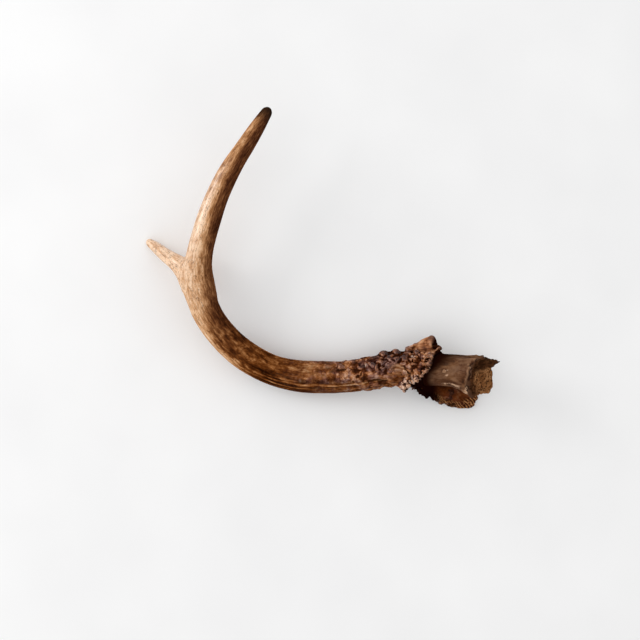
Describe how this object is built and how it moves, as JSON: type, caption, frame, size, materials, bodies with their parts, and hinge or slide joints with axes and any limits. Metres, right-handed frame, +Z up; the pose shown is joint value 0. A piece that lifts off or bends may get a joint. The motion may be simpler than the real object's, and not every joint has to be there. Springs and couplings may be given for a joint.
{
  "type": "deer antler",
  "caption": "Curved deer antler with one side tine, a knobbly burr and the broken stump of skull bone that it grew on, lying on a surface.",
  "frame": {"origin": "on the table under the middle of the antler's box", "axes": "+Z up from the table; +X from the fork towards the burr and the skull bone; +Y from the burr's side towards the tip of the beam"},
  "size_m": [0.3124, 0.2631, 0.0657],
  "materials": {
    "antler": "satin, brown with paler worn tan on the tine and along the outer side of the beam",
    "bone": "satin, grey-brown, with a rough ochre broken face"
  },
  "bodies": {
    "root": {"main_beam": "antler", "tine": "antler", "pedicle": "bone"}
  },
  "joints": []
}
